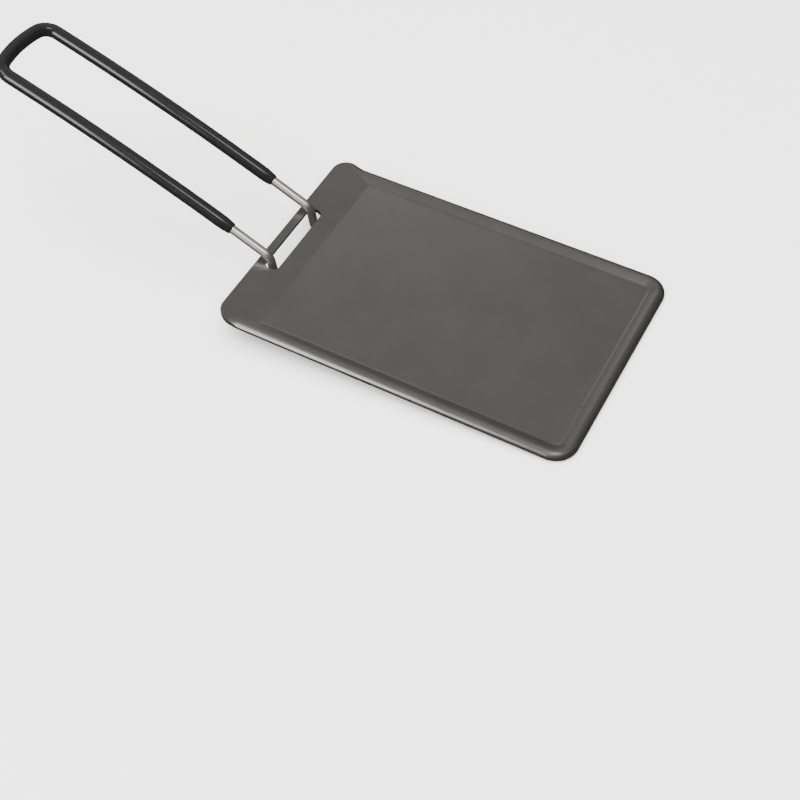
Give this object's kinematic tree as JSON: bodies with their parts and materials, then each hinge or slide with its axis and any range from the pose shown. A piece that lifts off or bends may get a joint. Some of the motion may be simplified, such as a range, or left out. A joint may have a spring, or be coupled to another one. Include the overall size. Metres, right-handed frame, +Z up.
{
  "type": "camping grill pan",
  "caption": "Flat pressed steel grill plate with a low rim and a slotted, sloping tab, carried by a hooked wire handle with a black sleeve.",
  "frame": {"origin": "centre of the cooking floor's top face", "axes": "+Z up out of the cooking floor, +X along the pan and away from the handle, +Y across the pan"},
  "size_m": [0.2948, 0.1076, 0.0721],
  "materials": {
    "plate": "matt dark grey baked coating on steel",
    "wire": "bright drawn stainless wire",
    "sleeve": "glossy black heat-resistant tube"
  },
  "bodies": {
    "pan": {"pan_plate": "plate"},
    "handle": {"handle_wire": "wire", "grip_sleeve": "sleeve"}
  },
  "joints": [
    {"name": "handle_swing", "type": "hinge", "parent": "pan", "child": "handle", "pos_m": [-0.08112, 0, 0.00026], "axis": [0, 1, 0], "range_deg": [0, 47.4]}
  ]
}
